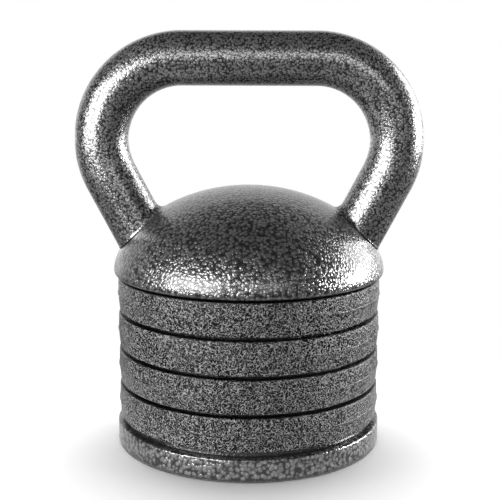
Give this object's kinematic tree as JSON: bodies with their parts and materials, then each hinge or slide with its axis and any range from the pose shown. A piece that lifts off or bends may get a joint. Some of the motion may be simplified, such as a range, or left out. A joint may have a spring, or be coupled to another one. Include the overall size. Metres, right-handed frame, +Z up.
{
  "type": "adjustable kettlebell",
  "caption": "Plate-loaded kettlebell: bent tube handle on a domed cap, round weight plates and a base plate clamped by long screws from below.",
  "frame": {"origin": "centre of the base plate's underside, on the floor", "axes": "+Z up through the crown of the dome, X along the grip, Y through the gap under the grip"},
  "size_m": [0.2456, 0.1924, 0.2918],
  "materials": {
    "hammertone_steel": "glossy hammered silver-grey enamel on steel",
    "hammertone_casting": "glossy hammered silver-grey enamel on cast iron",
    "crinkle_casting": "fine crinkle coat, dark grey, low sheen, on cast iron",
    "zinc_steel": "bright zinc plate",
    "black_steel": "black oxide"
  },
  "bodies": {
    "base": {"base_plate": "hammertone_casting"},
    "plate_4": {"plate_4": "crinkle_casting"},
    "plate_3": {"plate_3": "crinkle_casting"},
    "plate_2": {"plate_2": "crinkle_casting"},
    "plate_1": {"plate_1": "crinkle_casting"},
    "capped_handle": {"top_dome": "hammertone_casting", "handle_tube": "hammertone_steel", "weld_left": "hammertone_steel", "weld_right": "hammertone_steel"},
    "washers_left": {"flat_washer_left": "zinc_steel", "spring_washer_left": "zinc_steel"},
    "washers_right": {"flat_washer_right": "zinc_steel", "spring_washer_right": "zinc_steel"},
    "screw_left": {"clamp_screw_left": "black_steel"},
    "screw_right": {"clamp_screw_right": "black_steel"}
  },
  "joints": [
    {"name": "plate_4_lift", "type": "slide", "parent": "base", "child": "plate_4", "axis": [0, 0, 1], "range_m": [0, 0.04]},
    {"name": "plate_3_lift", "type": "slide", "parent": "plate_4", "child": "plate_3", "axis": [0, 0, 1], "range_m": [0, 0.04]},
    {"name": "plate_2_lift", "type": "slide", "parent": "plate_3", "child": "plate_2", "axis": [0, 0, 1], "range_m": [0, 0.04]},
    {"name": "plate_1_lift", "type": "slide", "parent": "plate_2", "child": "plate_1", "axis": [0, 0, 1], "range_m": [0, 0.04]},
    {"name": "handle_lift", "type": "slide", "parent": "plate_1", "child": "capped_handle", "axis": [0, 0, 1], "range_m": [0, 0.04]},
    {"name": "screw_left_out", "type": "slide", "parent": "base", "child": "washers_left", "axis": [0, 0, -1], "range_m": [0, 0.14]},
    {"name": "screw_right_out", "type": "slide", "parent": "base", "child": "washers_right", "axis": [0, 0, -1], "range_m": [0, 0.14]},
    {"name": "screw_left_turn", "type": "hinge", "parent": "washers_left", "child": "screw_left", "pos_m": [-0.045, 0, 0.01], "axis": [0, 0, -1], "range_deg": [0, 40320]},
    {"name": "screw_right_turn", "type": "hinge", "parent": "washers_right", "child": "screw_right", "pos_m": [0.045, 0, 0.01], "axis": [0, 0, -1], "range_deg": [0, 40320]}
  ],
  "couplings": [
    {"joint": "screw_left_turn", "follows": "screw_left_out", "rad_per_m": 5026.5},
    {"joint": "screw_right_turn", "follows": "screw_right_out", "rad_per_m": 5026.5}
  ]
}
